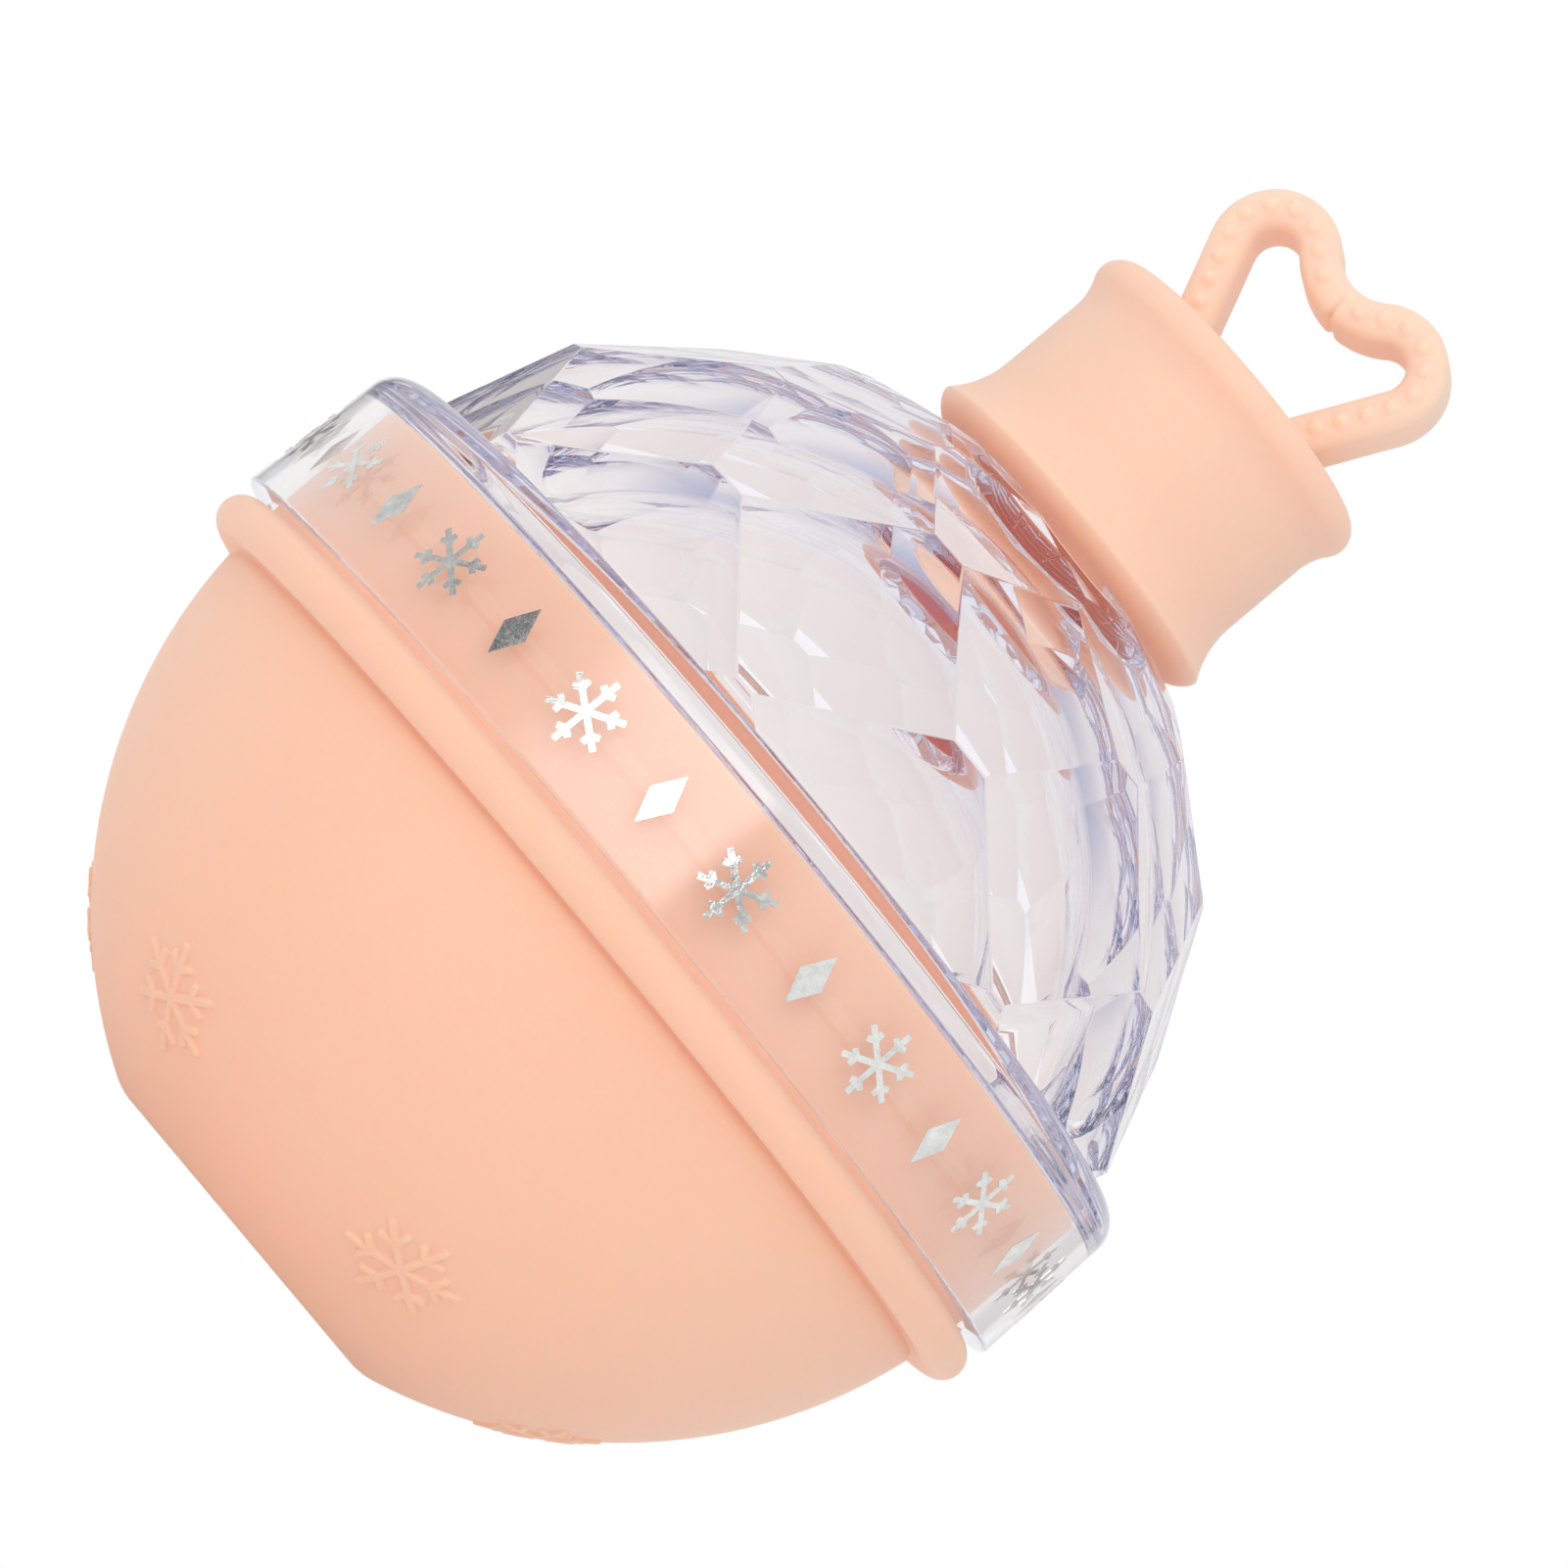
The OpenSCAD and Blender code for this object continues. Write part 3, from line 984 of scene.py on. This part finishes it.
# Brightness that mirrors see, by bearing from the camera in degrees
PANELS = [
    (-180, 0.85),
    (-168, 0.85),
    (-164, 0.25),
    (-154, 0.25),
    (-150, 0.85),
    (-115, 0.85),
    (-98, 0.55),
    (-78, 0.5),
    (-68, 0.08),
    (-56, 0.08),
    (-44, 0.5),
    (-34, 3.4),
    (1, 4.2),
    (6, 0.2),
    (12, 0.2),
    (22, 0.9),
    (90, 0.9),
    (120, 0.85),
    (136, 0.85),
    (140, 0.25),
    (148, 0.25),
    (152, 0.85),
]
OVERHEAD = (0.8, 0.8, 0.82)  # what mirrors see above the panels
OVERHEAD_FROM, OVERHEAD_TO = 0.15, 0.3  # height of the ray where it takes over
# Colour that clear plastic sees, by height of the ray
WALLS = [
    (0.35, (0.94, 0.90, 0.86)),
    (0.62, (0.88, 0.83, 0.82)),
    (0.92, (0.45, 0.47, 0.64)),
]
# Its share by how far the ray heads to the right
WALL_SIDES = [
    (-0.3, (1.0, 1.0, 1.0)),
    (0.4, (0.89, 0.87, 0.88)),
]
# Name, direction (right, towards the camera, up), level and softness in degrees. level is the
# brightness that the lamp alone gives a white card facing it.
LAMPS = [
    ("key", (-0.12, 1.0, 0.25), 0.26, 40),
    ("top", (-0.3, 0.3, 1.0), 0.18, 90),
]
BOUNCES = 32  # enough for light that is caught in the clear dome
CLEAR_LAYERS = 16


def seen_rays(tree):
    """1 for rays that show the background: straight, mirrored or through clear plastic."""
    return any_ray(tree, "Is Camera Ray", "Is Glossy Ray", "Is Transmission Ray")


def floor_material():
    """White floor that is lit as paper is and also glows, so that it reads as white where nothing
    shades it; its softer glow towards the object lights it from below.
    """
    material, tree, shader = new_material("white_floor")
    tree.nodes.remove(shader)
    diffuse = tree.nodes.new("ShaderNodeBsdfDiffuse")
    shades = [(FLOOR_COLOUR + d,) * 3 for d in (-FLOOR_GRAIN, FLOOR_GRAIN)]
    grain = add_noise(tree, scale=40, detail=2)
    tree.links.new(ramp(tree, grain, *shades), diffuse.inputs["Color"])
    glow = tree.nodes.new("ShaderNodeEmission")
    level = to_range(tree, seen_rays(tree), FLOOR_LIGHT, FLOOR_GLOW)
    tree.links.new(level, glow.inputs["Strength"])
    both = tree.nodes.new("ShaderNodeAddShader")
    tree.links.new(diffuse.outputs[0], both.inputs[0])
    tree.links.new(glow.outputs[0], both.inputs[1])
    tree.links.new(both.outputs[0], tree.nodes["Material Output"].inputs["Surface"])
    return material


def make_floor():
    """Large level floor just under the foot."""
    bm = bmesh.new()
    bmesh.ops.create_grid(bm, x_segments=2, y_segments=2, size=FLOOR_SIZE / 2)
    mesh = bpy.data.meshes.new("floor")
    bm.to_mesh(mesh)
    bm.free()
    mesh.materials.append(floor_material())
    floor = bpy.data.objects.new("floor", mesh)
    floor.location.z = FLOOR_Z
    bpy.context.scene.collection.objects.link(floor)


def camera_axes():
    """Right, level forward and up of the photograph's viewpoint, before roll and pitch."""
    a = math.radians(CAMERA_AZIMUTH)
    return (
        Vector((math.cos(a), math.sin(a), 0)),
        Vector((-math.sin(a), math.cos(a), 0)),
        Vector((0, 0, 1)),
    )


def make_world():
    """Plain white for what is seen straight, a plain soft level for what lights the object.
    Mirrors see a ring of studio panels with dark gaps and a softbox beside the camera, and
    clear plastic sees pale walls under a darker ceiling."""
    world = bpy.data.worlds.new("studio")
    bpy.context.scene.world = world
    world.use_nodes = True
    tree = world.node_tree
    background = tree.nodes["Background"]
    coords = tree.nodes.new("ShaderNodeTexCoord")
    height = height_of(tree, "Generated")
    right, forward, _ = camera_axes()

    def part_along(axis):
        node = tree.nodes.new("ShaderNodeVectorMath")
        node.operation = "DOT_PRODUCT"
        node.inputs[1].default_value = axis
        tree.links.new(coords.outputs["Generated"], node.inputs[0])
        return node.outputs["Value"]

    def blend(factor, a, b):
        node = tree.nodes.new("ShaderNodeMix")
        node.data_type = "RGBA"
        tree.links.new(factor, node.inputs["Factor"])
        for socket, value in ((node.inputs["A"], a), (node.inputs["B"], b)):
            if isinstance(value, tuple):
                socket.default_value = (*value, 1)
            else:
                tree.links.new(value, socket)
        return node.outputs["Result"]

    bearing = tree.nodes.new("ShaderNodeMath")
    bearing.operation = "ARCTAN2"
    tree.links.new(part_along(right), bearing.inputs[0])
    tree.links.new(part_along(-forward), bearing.inputs[1])
    round_way = from_range(tree, bearing.outputs["Value"], -math.pi, math.pi)
    panels = stops(tree, round_way, [(0.5 + a / 360, (v, v, v)) for a, v in PANELS])
    overhead = ramp(tree, height, (0, 0, 0), WHITE, OVERHEAD_FROM, OVERHEAD_TO)
    mirrored = blend(overhead, panels, OVERHEAD)
    side = from_range(tree, part_along(right), -1, 1)
    sides = stops(tree, side, [(0.5 + x / 2, colour) for x, colour in WALL_SIDES])
    walls = times(tree, stops(tree, height, WALLS), sides)
    path = tree.nodes.new("ShaderNodeLightPath")
    seen = blend(path.outputs["Is Transmission Ray"], mirrored, walls)
    seen = blend(path.outputs["Is Camera Ray"], seen, WHITE)
    shown = blend(seen_rays(tree), (AMBIENT, AMBIENT, AMBIENT), seen)
    tree.links.new(shown, background.inputs["Color"])
    background.inputs["Strength"].default_value = 1.0


def add_lamp(name, direction, level, softness):
    """A soft distant lamp that mirrors and clear plastic don't show."""
    right, forward, up = camera_axes()
    side, front, height = direction
    towards = (right * side - forward * front + up * height).normalized()
    data = bpy.data.lights.new(name, "SUN")
    data.energy = level * math.pi
    data.angle = math.radians(softness)
    lamp = bpy.data.objects.new(name, data)
    lamp.rotation_mode = "QUATERNION"
    lamp.rotation_quaternion = towards.to_track_quat("Z", "Y")
    lamp.visible_glossy = False
    lamp.visible_transmission = False
    bpy.context.scene.collection.objects.link(lamp)


def make_camera():
    """Camera at the photograph's viewpoint, rolled so that the mold lies at its angle."""
    right, forward, up = camera_axes()
    pitch = math.radians(CAMERA_PITCH)
    look = forward * math.cos(pitch) + up * math.sin(pitch)
    over = up * math.cos(pitch) - forward * math.sin(pitch)
    axes = Matrix((right, over, -look)).transposed()
    roll = Matrix.Rotation(math.radians(CAMERA_ROLL), 3, "Z")
    place = right * CAMERA_SIDE - forward * CAMERA_DISTANCE + up * CAMERA_Z
    data = bpy.data.cameras.new("camera")
    data.sensor_width = SENSOR
    data.lens = FOCAL_PX / PHOTO_PX * SENSOR
    data.clip_start, data.clip_end = CAMERA_CLIP
    camera = bpy.data.objects.new("camera", data)
    camera.matrix_world = Matrix.Translation(place) @ (axes @ roll).to_4x4()
    bpy.context.scene.collection.objects.link(camera)
    bpy.context.scene.camera = camera


make_floor()
make_world()
for lamp in LAMPS:
    add_lamp(*lamp)
make_camera()
bpy.context.scene.view_settings.view_transform = "Standard"
bpy.context.scene.cycles.max_bounces = BOUNCES
bpy.context.scene.cycles.glossy_bounces = BOUNCES
bpy.context.scene.cycles.transmission_bounces = BOUNCES
bpy.context.scene.cycles.transparent_max_bounces = CLEAR_LAYERS
